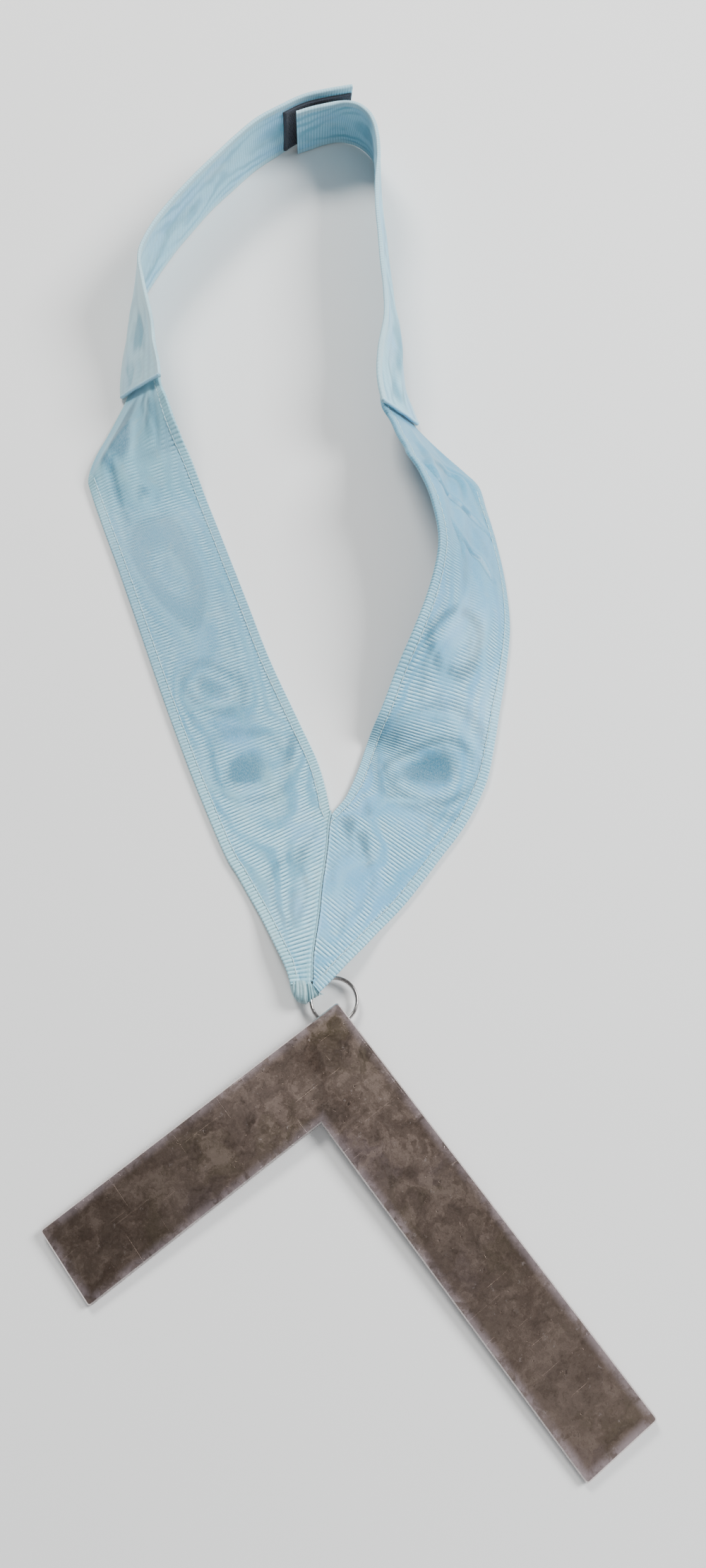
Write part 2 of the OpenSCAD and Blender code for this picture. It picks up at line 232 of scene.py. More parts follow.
class Band:
    """A ribbon as the part's source makes it, with its length and width in millimetres."""

    def __init__(self, rows, folds, side, width, thick, rib_from=None):
        self.rows = np.array([row + ROW_REST[len(row):] for row in rows], float)
        self.folds, self.side, self.width, self.thick, self.rib_from = folds, side, width, thick, rib_from
        self.last = len(rows) - 1
        s = np.linspace(0, self.last, 4000)
        step = np.diff(self.at(s, 0.0, 0.0, flat=True), axis=0)
        # The way the ribs are crossed: the ribbon's own run, also where its edge is cut slantwise
        run = self.row(s)[:, 2]
        if rib_from:
            run = np.where(s > rib_from[0], rib_from[1], run)
        mid = np.radians((run[1:] + run[:-1]) / 2)
        along = np.sin(mid) * step[:, 0] + np.cos(mid) * step[:, 1]
        self.s_of, self.along_of = s, np.concatenate([[0], np.cumsum(along)])

    def row(self, s):
        s = np.asarray(s, float)
        i = np.clip(np.floor(s).astype(int), 0, self.last - 1)
        t = (s - i)[..., None]
        rows = self.rows
        a, b = rows[np.maximum(i - 1, 0)], rows[i]
        c, d = rows[i + 1], rows[np.minimum(i + 2, self.last)]
        r = 0.5 * (2 * b + (c - a) * t + (2 * a - 5 * b + 4 * c - d) * t**2
                   + (3 * b - a - 3 * c + d) * t**3)
        r[..., 3] = np.maximum(r[..., 3], 0)
        r[..., 5] = np.maximum(r[..., 5], 0)
        return r

    def wide(self, s):
        return self.row(s)[..., 4] * self.width

    def fold(self, s, u):
        h = 0.0
        for row, across, length, breadth, height, slant in self.folds:
            off = u - across - slant * (s - row)
            h = h + height * np.exp(-((s - row) / length) ** 2) * np.exp(-(off / breadth) ** 2)
        return np.minimum(1, np.maximum(u, 0) / HEM_SHARE) * h

    def at(self, s, w, v, flat=False):
        """The point at row s, w millimetres in from the outer edge and v off the middle surface."""
        s, w, v = np.broadcast_arrays(np.asarray(s, float), w, v)
        x, y, heading, lean, share, lift, bow = np.moveaxis(self.row(s), -1, 0)
        heading, lean = np.radians(heading), np.radians(lean)
        up = np.array([0.0, 0.0, 1.0])
        inward = self.side * np.stack([np.cos(heading), -np.sin(heading), 0 * heading], -1)
        across = inward * np.cos(lean)[..., None] + up * np.sin(lean)[..., None]
        proud = -inward * np.sin(lean)[..., None] + up * np.cos(lean)[..., None]
        u = w / (share * self.width)
        off = v if flat else v + 4 * bow * u * (1 - u) + self.fold(s, u)
        base = np.stack([x, y, lift + self.thick / 2 * np.cos(lean)], -1)
        return base + across * w[..., None] + proud * off[..., None]

    def along(self, s, w):
        """How far along the ribbon a point lies, so that a rib is where this is the same."""
        out = np.interp(s, self.s_of, self.along_of)
        if self.rib_from:
            r = self.row(s)
            turn = np.radians(self.rib_from[1] - r[..., 2])
            k = self.side * np.sin(turn) * smooth(self.rib_from[0] - 0.6, self.rib_from[0] + 0.6, s)
            out = out + w * k * np.cos(np.radians(r[..., 3]))
        return out


leg_left = Band(LEG_LEFT, LEG_LEFT_FOLDS, LEFT, LEG_W, LEG_T, (15.0, -18.0))
leg_right = Band(LEG_RIGHT, LEG_RIGHT_FOLDS, RIGHT, LEG_W, LEG_T, (20.0, -13.0))
strap_left = Band(STRAP_LEFT, STRAP_LEFT_FOLDS, LEFT, STRAP_W, STRAP_T)
strap_right = Band(STRAP_RIGHT, STRAP_RIGHT_FOLDS, RIGHT, STRAP_W, STRAP_T)


# Mesh helpers
def to_row(points):
    return (np.asarray(points, float).reshape(-1, 3) - FLOOR_MID) * MM


def add_mesh(name, points, groups, material, uv=None, tags=None):
    """points in metres, groups a list of arrays of faces, each tag a number for each point."""
    me = bpy.data.meshes.new(name)
    faces = [face for group in groups for face in group.tolist()]
    me.from_pydata(points, [], faces, shade_flat=False)
    me.validate()
    if uv is not None:
        corners = np.concatenate([group.ravel() for group in groups])
        me.uv_layers.new(name="UVMap").data.foreach_set("uv", uv[corners].astype(np.float32).ravel())
    for key, value in (tags or {}).items():
        me.attributes.new(key, "FLOAT", "POINT").data.foreach_set("value", value.astype(np.float32).ravel())
    me.materials.append(material)
    ob = bpy.data.objects.new(name, me)
    bpy.context.collection.objects.link(ob)
    return ob


def lattice(n, m, closed=False, start=0):
    """Quads over an n by m grid of points."""
    i = np.arange(n - 1)[:, None] * m
    j = np.arange(m if closed else m - 1)[None, :]
    after = (j + 1) % m
    corners = np.broadcast_arrays(i + j, i + after, i + m + after, i + m + j)
    return np.stack([x.ravel() for x in corners], 1) + start


def tube(points, radius, sides, squash=1):
    """Points and faces of a tube along a path in millimetres, with rounded ends."""
    p = np.asarray(points, float)
    n = len(p)
    radius = np.broadcast_to(radius, n)
    d = np.gradient(p, axis=0)
    d /= np.linalg.norm(d, axis=1)[:, None]
    side = np.cross(d, [0.01, 0.01, 1.01])
    side /= np.linalg.norm(side, axis=1)[:, None]
    ang = np.linspace(0, math.tau, sides, endpoint=False)[None, :, None]
    ring = side[:, None] * np.cos(ang) + squash * np.cross(side, d)[:, None] * np.sin(ang)
    ends = [p[0] - d[0] * radius[0] * 0.5, p[-1] + d[-1] * radius[-1] * 0.5]
    pts = np.vstack([(p[:, None] + ring * radius[:, None, None]).reshape(-1, 3), ends])
    j = np.arange(sides)
    k = (j + 1) % sides
    first, last = n * sides, (n - 1) * sides
    start, end = np.full(sides, first), np.full(sides, first + 1)
    caps = np.vstack([np.stack([start, k, j], 1), np.stack([end, last + j, last + k], 1)])
    return pts, lattice(n, sides, closed=True), caps


# Materials
class Nodes:
    """A material made of nodes. The methods add a node and return its output."""

    def __init__(self, name):
        self.mat = bpy.data.materials.new(name)
        self.mat.use_nodes = True
        self.tree = self.mat.node_tree
        self.tree.nodes.clear()
        self.bsdf = self.new("BsdfPrincipled")
        self.tree.links.new(self.bsdf.outputs[0], self.new("OutputMaterial").inputs[0])

    def put(self, socket, value):
        if isinstance(value, bpy.types.NodeSocket):
            self.tree.links.new(value, socket)
            return
        if isinstance(value, tuple) and len(value) == 3 and len(socket.default_value) == 4:
            value = (*value, 1.0)
        socket.default_value = value

    def new(self, kind, values=(), **props):
        """A node whose first inputs take the values in order."""
        node = self.tree.nodes.new("ShaderNode" + kind)
        for key, value in props.items():
            setattr(node, key, value)
        for socket, value in zip(node.inputs, values):
            self.put(socket, value)
        return node

    def add(self, kind, out=0, **inputs):
        node = self.new(kind)
        for key, value in inputs.items():
            self.put(node.inputs[key.replace("_", " ")], value)
        return node.outputs[out]

    def place(self):
        """Where a point lies on its object, in metres."""
        return self.add("TexCoord", out=3)

    def parts(self, vector):
        return self.new("SeparateXYZ", [vector]).outputs

    def tag(self, name):
        return self.new("Attribute", attribute_name=name).outputs[2]

    def math(self, op, *values):
        return self.new("Math", values, operation=op).outputs[0]

    def vector(self, op, *values):
        return self.new("VectorMath", values, operation=op).outputs[0]

    def times(self, *values):
        return reduce(lambda a, b: self.math("MULTIPLY", a, b), values)

    def plus(self, *values):
        return reduce(lambda a, b: self.math("ADD", a, b), values)

    def minus(self, a, b):
        return self.math("SUBTRACT", a, b)

    def mix(self, factor, a, b):
        node = self.new("Mix", data_type="RGBA")
        for at, value in ((0, factor), (6, a), (7, b)):
            self.put(node.inputs[at], value)
        return node.outputs[2]

    def tint(self, colour, layers):
        """Mixes each layer's tone into the colour, as far as its mask times its amount."""
        for mask, amount, tone in layers:
            colour = self.mix(self.times(mask, amount), colour, tone)
        return colour

    def span(self, x, a, b, low=0.0, high=1.0):
        """From low, where x is a, to high, where it is b, with no kink."""
        return self.new("MapRange", (x, a, b, low, high), interpolation_type="SMOOTHSTEP").outputs[0]

    def scaled(self, where, by=(1, 1, 1), shift=(0, 0, 0), turn=0.0):
        return self.add("Mapping", Vector=where, Scale=by, Location=shift, Rotation=(0, 0, turn))

    def noise(self, where, scale, detail, rough, out=0, **scaling):
        if scaling:
            where = self.scaled(where, **scaling)
        return self.add("TexNoise", out=out, Vector=where, Scale=scale, Detail=detail, Roughness=rough)

    def bump(self, height, distance, strength):
        return self.add("Bump", Strength=strength, Distance=distance, Height=height)

    def set(self, **inputs):
        for key, value in inputs.items():
            self.put(self.bsdf.inputs[key.replace("_", " ")], value)


def toned(colour, *shares):
    return tuple(c * share for c, share in zip(colour, shares))


# The blue of the rib tint, and the near-white of the painted highlight on the rib crests
RIB_BLUE, PAINTED_RIB_HIGHLIGHT = (0.11, 0.44, 0.74), (0.56, 0.89, 1.00)
SLUB, SOIL = (0.58, 0.8, 0.86), (0.42, 0.47, 0.42)
WARP = 0.034  # from one warp thread to the next, in centimetres


def ribbon_material(name, pale, deep, violet, hem):
    """Watered ribbon. Its UV is across and along, in centimetres, and its tags say how far the ribs stand
    and where the darker, the smooth and the hemmed parts lie."""
    n = Nodes(name)
    uv = n.add("TexCoord", out=2)
    across, along, _ = n.parts(uv)
    tags = ("water", "hem", "stand", "teal", "plain", "shade", "blue")
    water, hems, stand, teal, plain, shade, blue = (n.tag(key) for key in tags)
    patches = n.noise(uv, 0.9, 2, 0.5, by=(1, 0.45, 1))
    more_patches = n.noise(uv, 1.3, 2, 0.55, by=(1, 0.35, 1), shift=(7, 3, 0))
    ragged = n.noise(uv, 1, 3, 0.6, by=(6, 2, 1))
    dark = n.span(n.plus(teal, n.times(ragged, 0.5)), 0.3, 1.15)
    # Painted light on the ribs: a broad painted highlight on each crest, and a narrow painted shade in the
    # valley beside it
    wobble = n.times(n.minus(n.noise(uv, 1, 2, 0.5, by=(2.2, 1.2, 1)), 0.5), 0.9)
    phase = n.plus(n.times(along, math.tau / (RIB / 10)), wobble)
    crest = n.math("MULTIPLY_ADD", n.math("COSINE", phase), 0.5, 0.5)
    uneven = n.noise(uv, 1, 1, 0.5, by=(5, 9.4, 1))
    much = n.times(stand, n.span(uneven, 0.25, 0.6, 0.55, 1))
    valley = n.times(n.math("POWER", n.minus(1, crest), 2.4), much)
    painted_rib_highlight = n.times(n.math("POWER", crest, 1.3), n.math("POWER", much, 1.4), 0.88)
    # Fine warp threads, which run along the ribbon, and small slubs
    warp = n.math("SINE", n.times(across, math.tau / WARP))
    fine = n.noise(uv, 1, 2, 0.6, by=(34, 12, 1))
    soil = n.noise(uv, 1.7, 5, 0.62, by=(0.8, 0.8, 1), shift=(2, 9, 0))
    colour = n.mix(n.span(water, 0.05, 0.9), toned(pale, 0.52, 0.66, 0.72), pale)
    colour = n.tint(colour, [
        (plain, 0.45, violet),
        (n.span(patches, 0.48, 0.68), 0.5, violet),
        (n.span(more_patches, 0.5, 0.72), 0.5, hem),
        (hems, 0.75, hem),
        (blue, 0.5, RIB_BLUE),
        (dark, 0.85, deep),
        (shade, 0.75, toned(pale, 0.4, 0.53, 0.57)),
        # painted shade in the valleys between the ribs
        (valley, 0.9, toned(deep, 0.62, 0.68, 0.7)),
        # painted highlight on the rib crests
        (painted_rib_highlight, n.minus(1, n.times(shade, 0.45)), PAINTED_RIB_HIGHLIGHT),
        (n.span(fine, 0.35, 0.7), 0.12, SLUB),
        (n.span(soil, 0.56, 0.78), 0.22, SOIL),
    ])
    height = n.plus(n.times(warp, 0.1), n.times(fine, 0.35), n.times(valley, -1.6))
    n.set(Base_Color=colour, Roughness=n.span(fine, 0.2, 0.8, 0.3, 0.46),
          Normal=n.bump(height, 0.00012, 0.7), Sheen_Weight=0.12, Sheen_Roughness=0.4,
          Sheen_Tint=(0.85, 0.95, 1), Specular_IOR_Level=0.4)
    return n.mat


PALE, DEEP = (0.13, 0.42, 0.592), (0.02, 0.12, 0.19)
VIOLET, HEMMED = (0.16, 0.41, 0.7), (0.3, 0.55, 0.59)
KNOB_PALE, KNOB_DEEP, KNOB_HEM = (0.24, 0.44, 0.5), (0.06, 0.17, 0.22), (0.38, 0.54, 0.53)
STRAP_PALE, STRAP_DEEP, STRAP_HEM = (0.3, 0.6, 0.72), (0.08, 0.28, 0.38), (0.44, 0.61, 0.64)
ribbon_mat = ribbon_material("watered_ribbon", PALE, DEEP, VIOLET, HEMMED)
knob_mat = ribbon_material("gathered_ribbon", KNOB_PALE, KNOB_DEEP, VIOLET, KNOB_HEM)
strap_mat = ribbon_material("strap_ribbon", STRAP_PALE, STRAP_DEEP, VIOLET, STRAP_HEM)


def thread_material(name, light, dark):
    n = Nodes(name)
    where = n.place()
    twist = n.noise(where, 5200, 2, 0.6)
    patch = n.noise(where, 260, 2, 0.5)
    colour = n.mix(n.span(twist, 0.35, 0.65), dark, light)
    colour = n.tint(colour, [(n.span(patch, 0.45, 0.7), 0.3, dark)])
    n.set(Base_Color=colour, Roughness=n.span(twist, 0.3, 0.7, 0.5, 0.75),
          Normal=n.bump(twist, 0.00005, 0.6), Sheen_Weight=0.2)
    return n.mat


stitch_mat = thread_material("hem_thread", (0.52, 0.7, 0.74), (0.34, 0.52, 0.57))
dark_thread_mat = thread_material("seam_thread", (0.06, 0.08, 0.09), (0.015, 0.02, 0.025))
lip_mat = thread_material("seam_lip", (0.27, 0.48, 0.55), (0.15, 0.34, 0.42))
piping_mat = thread_material("piping", (0.4, 0.68, 0.82), (0.27, 0.54, 0.7))


# The watered pattern
def watered(band, s, w, bow, shift, eyes):
    """From 0, where the ribs are pressed flat, to 1, where they stand: contours of a slow field, as two
    layers of ribs make when pressed on each other. They run along the ribbon and close round each eye."""
    x = 2 * w / band.width - 1
    u = w / band.wide(s)
    along = band.along(s, w)
    moved = along + shift
    field = 1.3 + bow * x**2 + 0.45 * np.sin(moved / 12.4 + 1.2 * x)
    field = field + 0.22 * np.sin(moved / 6.1 - 2.3 * x + 1.3) + 0.25 * np.sin(2.2 * x + along / 27)
    for at_along, at_u, reach, breadth, strength in eyes:
        d = ((along - at_along) / (1.9 * reach)) ** 2 + ((u - at_u) / (1.5 * breadth + 0.05)) ** 2
        field = field * (1 - strength * np.exp(-d))
    field = field + 0.05 * np.sin(along / 1.9 - 7 * x) + 0.04 * np.sin(along / 0.9 + 9 * x)
    clear = 0.75 + 0.2 * np.sin(along / 9.3 + 2.6 * x + shift)
    clear = clear + 0.2 * np.sin(along / 5.2 - 3.7 * x + 2 * shift)
    return 1 - np.clip(clear, 0.3, 1) * (0.5 + 0.5 * np.cos(math.tau * field))


def blots(band, s, w, patches):
    """Where the patches lie: 1 in the middle of one, dying away round it."""
    u = w / band.wide(s)
    along = band.along(s, w)
    out = np.zeros_like(u)
    for at_along, at_u, reach, breadth, strength in patches:
        x, y = (u - at_u) / (1.25 * breadth), (along - at_along) / (1.2 * reach)
        x, y = x + 0.35 * np.sin(1.9 * y + at_along), y + 0.35 * np.sin(2.3 * x + 3 * at_along) - 0.25 * x
        out = np.maximum(out, strength * (1 - smooth(0.0, 1.5, np.sqrt(x * x + y * y))))
    return out


def rims(band, s, w, lenses):
    """The soft outlines of the lenses."""
    u = w / band.wide(s)
    along = band.along(s, w)
    out = np.zeros_like(u)
    for at_along, at_u, reach, breadth, strength, soft in lenses:
        x, y = (u - at_u) / breadth, (along - at_along) / reach
        x, y = x + 0.12 * np.sin(2.6 * y + at_along) + 0.1 * y, y + 0.12 * np.sin(2.1 * x + 2 * at_along)
        out = np.maximum(out, strength * np.exp(-((np.sqrt(x * x + y * y) - 1) / soft) ** 2))
    return out


# The ribbons
EDGE = 0.55  # how far the rounding of an edge reaches in
HEM_COLS = [EDGE, 1.1, 1.9, 2.45, 2.85, 3.25, 3.8]
PER_RIB = 5  # sections for each rib


def columns(wide, middle):
    """Places across the face for each row: close together at the lines of stitches."""
    near = np.array(HEM_COLS)[None, :] * narrowed(wide)[:, None]
    t = np.linspace(0, 1, middle + 2)[1:-1][None, :]
    mid = near[:, -1:] + (wide[:, None] - 2 * near[:, -1:]) * t
    return np.hstack([near, mid, wide[:, None] - near[:, ::-1]])


def ribbon_body(name, band, material, cells, look, uv_shift, rim_in=None):
    """A closed ribbon with ribs, hems and grooves pressed into both faces. look(face, s, w, wide, along)
    gives how deep a face lies under its flat height, and the tags. rim_in(s) is how round the inner edge
    is: hardly, where two ribbons are sewn together."""
    a0, a1 = band.along_of[0], band.along_of[-1]
    count = int(round((a1 - a0) / RIB * PER_RIB))
    s = np.interp(np.linspace(a0, a1, count + 1), band.along_of, band.s_of)
    s[0], s[-1] = 0, band.last
    wide = band.wide(s)
    half = band.thick / 2
    arc = np.radians([60, 30, 0, -30, -60])
    k = narrowed(wide)
    inner = EDGE * k * (rim_in(s) if rim_in else 1.0)
    sides = []
    for face, middle in zip((1, -1), cells):
        cols = columns(wide, middle)
        cols[:, -1] = wide - inner
        rows = s[:, None] + 0 * cols
        depth, tags = look(face, rows, cols, wide[:, None], band.along(rows, cols))
        sides.append((cols, half - depth, tags))
    (cols, front_v, front_tags), (back_cols, back_v, back_tags) = sides
    swell, notch = 1 - np.cos(arc), 0.11 * np.cos(arc)
    round_v = np.repeat(np.sin(arc)[None, :] * half, len(s), 0)
    inner_rim = inner[:, None] * swell + notch * (rib_wave(band.along(s, wide)) * inner / EDGE)[:, None]
    outer_rim = EDGE * k[:, None] * swell + notch * rib_wave(band.along(s, 0 * s))[:, None]
    w_all = np.hstack([cols, wide[:, None] - inner_rim, back_cols[:, ::-1], outer_rim[:, ::-1]])
    v_all = np.hstack([front_v, round_v, -back_v[:, ::-1], round_v[:, ::-1]])
    s_all = s[:, None] + 0 * w_all
    n, cross = w_all.shape
    tags = {}
    for key, front in front_tags.items():
        inner_end, outer_end = (np.repeat(edge, len(arc), 1) for edge in (front[:, -1:], front[:, :1]))
        tags[key] = np.hstack([front, inner_end, back_tags[key][:, ::-1], outer_end])
    uv = np.dstack([w_all / 10 + uv_shift[0], band.along(s_all, w_all) / 10 + uv_shift[1]]).reshape(-1, 2)
    loop = np.arange(cross)[None, :]
    faces = [lattice(n, cross, closed=True), loop[:, ::-1], (n - 1) * cross + loop]
    if band.side > 0:
        faces = [f[:, ::-1] for f in faces]
    return add_mesh(name, to_row(band.at(s_all, w_all, v_all)), faces, material, uv, tags)


def near_line(w, line, breadth):
    return np.exp(-((w - line) / breadth) ** 2)


def run_of(path):
    """How far each point of a path lies along it."""
    return np.concatenate([[0], np.cumsum(np.linalg.norm(np.diff(path, axis=0), axis=1))])


def crease_lines(band, s, w, lines):
    """How deep the creases press at each point, and how high the cloth stands beside them."""
    here = np.stack([band.along(s, w), w], -1)
    foot, crest = 0 * s, 0 * s
    for depth, breadth, points in lines:
        rows, shares = points.T
        across = shares * band.wide(rows)
        path = np.stack([band.along(rows, across), across], -1)
        run = run_of(path)
        nearest, side, at = 0 * s + 1e9, 0 * s + 1, 0 * s
        for a, b, run_a, run_b in zip(path[:-1], path[1:], run[:-1], run[1:]):
            d = b - a
            t = np.clip(((here - a) @ d) / (d @ d), 0, 1)
            off = here - (a + t[..., None] * d)
            dist = np.linalg.norm(off, axis=-1)
            closer = dist < nearest
            nearest = np.where(closer, dist, nearest)
            side = np.where(closer, np.sign(d[0] * off[..., 1] - d[1] * off[..., 0]), side)
            at = np.where(closer, run_a + t * (run_b - run_a), at)
        high = depth * np.sin(math.pi * np.clip(at / run[-1], 0, 1)) ** 0.6
        foot = np.maximum(foot, high * near_line(nearest, 0, breadth))
        crest = np.maximum(crest, high * near_line(side * nearest, 2 * breadth, 1.3 * breadth))
    return foot, crest


def streaks(band, s, w, lines):
    """Smooth pale lines of the watered pattern."""
    rows = [[1, breadth, np.stack([np.interp(points[:, 0], band.along_of, band.s_of), points[:, 1]], 1)]
            for breadth, points in lines]
    return crease_lines(band, s, w, rows)[0]


def creased(face, depth, foot, crest):
    return depth + (foot - 0.55 * crest if face > 0 else 0.35 * crest)


def leg_look(band, shift, teal, plain, lenses, pale, creases, inner_hem, rib_fade, shade_of, grey_of,
             hem_to, lip_to=0, blue=0.05):
    """teal, plain, lenses and pale are the watered pattern's figures. inner_hem(s, wide) is where the inner
    line of stitches runs, rib_fade(s, u) how well the ribs stand. The outer hem ends at row hem_to."""
    def look(face, s, w, wide, along):
        u = w / wide
        water = watered(band, s, w, 2.1, shift, teal)
        flat, dark = blots(band, s, w, plain), blots(band, s, w, teal)
        streak = streaks(band, s, w, pale)
        dark = np.maximum(dark, rims(band, s, w, lenses)) * (1 - 0.6 * streak)
        foot, crest = crease_lines(band, s, w, creases)
        line_in = inner_hem(s, wide)
        hemmed = 1 - smooth(hem_to - 0.25, hem_to + 0.25, s)
        hem_line = 1 + (HEM - 1) * hemmed
        in_hem = np.maximum(1 - smooth(-0.15, 0.15, w - hem_line), smooth(-0.15, 0.15, w - line_in))
        cloth = 1 - in_hem
        lip = (1 - smooth(0.9, 1.25, wide - w)) * (1 - smooth(lip_to - 0.3, lip_to + 0.3, s))
        lip = np.maximum(lip, (1 - smooth(0.75, 1.05, w)) * (1 - hemmed))
        fade = rib_fade(s, u)
        stand = fade * (0.18 + 0.82 * smooth(0.15, 0.95, water)) * (1 - 0.8 * flat) * (1 - 0.6 * dark)
        stand = stand * (1 - 0.75 * streak) * (1 - 0.7 * lip)
        stand = stand * cloth + in_hem * (0.2 + 0.5 * fade)
        line = np.maximum(hemmed * near_line(w, HEM, 0.24), near_line(w, line_in, 0.24))
        depth = 0.32 * stand * rib_wave(along) + 0.14 * (1 - np.maximum(in_hem, lip)) + 0.13 * line
        tags = {
            "water": water * cloth + in_hem,
            "stand": stand,
            "plain": flat * cloth,
            "hem": np.max([in_hem, 0.7 * lip, grey_of(s, u), 0.55 * streak], 0),
            # Painted shade: the feet of the creases and the grooves of the stitch lines are darkened through
            # the teal and shade tags
            "teal": np.clip(dark * cloth + 0.3 * line + 0.75 * foot, 0, 1),
            "shade": np.clip(shade_of(s, u) + 0.8 * foot, 0, 1),
            "blue": 0 * u + blue,
        }
        return creased(face, depth + 0.05 * (1 - water), foot, crest), tags
    return look


# Where the lines of stitches run, in millimetres from the outer edge
def outer_line(s, wide):
    return HEM * narrowed(wide)


def hem_left(s, wide):
    return wide - np.interp(s, [6.9, 8.1, 8.8], [-0.4, 2.8, 2.7])


def hem_right(s, wide):
    return wide - np.interp(s, [8.5, 9.2, 9.8, 10.5], [-0.4, 1.7, 2.1, 2.8])


# Dark patches: place along in millimetres and share across, reach, breadth and strength
LEFT_TEAL = table("""
65 0.47 5.5 0.17 1.1
66 0.83 4 0.08 0.9
92 0.67 6 0.07 0.8
94 0.42 4.5 0.1 1
93 0.2 6 0.05 0.6
34 0.74 3.5 0.13 0.7
132 0.62 9 0.045 0.8
122 0.8 9 0.04 0.5
153 0.45 5 0.2 0.9
138 0.3 7 0.05 0.4
108 0.76 7 0.04 0.6
48 0.55 3 0.12 0.4
188 0.31 8.5 0.11 1.5
197 0.38 6 0.07 1
182 0.23 4.5 0.08 0.75
140 0.46 5 0.05 0.5
188 0.71 7 0.06 0.9
197 0.6 5 0.05 0.7
172 0.25 8 0.05 0.6
167 0.45 3 0.07 0.65
161 0.22 7 0.05 0.6
20 0.55 5 0.1 0.5
78 0.3 6 0.04 0.5
""")
# Lenses, which also have the softness of their outlines
LEFT_LENSES = table("""
139 0.46 16 0.21 1.6 0.36
94 0.44 9 0.22 0.75 0.28
66 0.47 12 0.3 0.5 0.22
24 0.5 9 0.25 0.45 0.25
168 0.45 6 0.16 0.3 0.3
""")
RIGHT_LENSES = table("""
75 0.42 12.5 0.33 0.7 0.2
78 0.45 19 0.5 0.55 0.16
118 0.58 10 0.24 0.8 0.28
30 0.6 8 0.26 0.35 0.25
134 0.45 22 0.42 0.3 0.15
""")
# Smooth patches
LEFT_PLAIN = table("""
110 0.48 8 0.1 1
117 0.3 8 0.05 0.8
76 0.52 5 0.16 0.8
166 0.44 4.5 0.12 0.6
152 0.55 5 0.3 0.5
184 0.55 12 0.45 0.4
80 0.62 5 0.06 0.6
24 0.7 4 0.1 0.5
128 0.45 5 0.08 0.6
""")
RIGHT_TEAL = table("""
43 0.8 3.5 0.1 1
41 0.6 3 0.1 0.9
75 0.42 8 0.18 1.1
84 0.84 9 0.1 0.6
67 0.66 6 0.06 0.7
96 0.56 5 0.1 0.6
53 0.79 3 0.07 0.5
118 0.42 8 0.08 0.6
143 0.55 9 0.12 0.5
186 0.5 4.5 0.12 0.8
160 0.3 7 0.08 0.4
20 0.55 5 0.12 0.5
60 0.25 6 0.05 0.5
104 0.75 7 0.05 0.6
""")
RIGHT_PLAIN = table("""
31 0.7 6 0.22 1
33 0.42 4 0.14 0.7
112 0.6 8 0.12 0.8
84 0.4 5 0.12 0.6
140 0.5 12 0.25 0.9
56 0.45 5 0.1 0.5
166 0.5 16 0.4 1
179 0.41 4.5 0.12 1
""")
# Pale streaks: breadth, then each point's place along and share across
LEFT_PALE = paths(1, """
1.3 167 0.07 152 0.09 140 0.15 127 0.23 116 0.34 108 0.44 102 0.46
1.2 150 0.66 136 0.74 125 0.69 117 0.59 110 0.48 104 0.5
1.2 104 0.17 96 0.16 90 0.2 89 0.32 86 0.57 81 0.575 76 0.55
0.9 165 0.86 142 0.9 126 0.86 110 0.85 97 0.85 82 0.81 74 0.72
1 76 0.1 72 0.12 64 0.12 57 0.3 60 0.57 64 0.66
0.9 203 0.58 187 0.775 179 0.767 172 0.75 164 0.717
0.9 184 0.3 177 0.358 171 0.36 165 0.33
1 203 0.47 193 0.55 183 0.5 175 0.55 168 0.58 162 0.45 168 0.33 174 0.36
""")
RIGHT_PALE = paths(1, """
1.6 82 0.93 88 0.87 94.5 0.675 96 0.41 90 0.18 81 0.1 70 0.1
2 124 0.44 117 0.58 112 0.64 106.6 0.59 105.4 0.42
1.2 146 0.5 140 0.54 122.6 0.667 110.5 0.75 102.4 0.76
1 146 0.36 136 0.33 119 0.31 108 0.18 97 0.1
1.2 42 0.45 38.8 0.52 31.4 0.75 24.2 0.76 22 0.43
1 66 0.3 62 0.5 58 0.66 52 0.7
""")
# Creases: depth and breadth, then each point's row and share across
LEFT_CREASES = paths(2, """
0.35 1 20.4 0.8 18.6 0.8 17 0.8 15.6 0.76
0.35 1.1 16.5 0.3 15.4 0.26 14.2 0.22
""")
RIGHT_CREASES = paths(2, """
0.75 0.9 21.9 0.68 21.2 0.72 19.7 0.82 18.9 0.76 18.8 0.56 18.5 0.45 18.4 0.33 18.2 0.24 18.05 0.14 17.9 0.07
0.6 0.9 17.6 0.72 17.38 0.62 17.32 0.49 17.2 0.38 16.96 0.31 16.7 0.21
0.45 0.8 17.9 0.74 17.55 0.68 17.24 0.66 16.9 0.68
0.55 1.1 20.5 0.62 20.4 0.41 20.2 0.3 19.7 0.29 19.1 0.33 18.7 0.4
0.35 1 21.6 0.4 20.4 0.18 19.2 0.12 18.2 0.1
""")


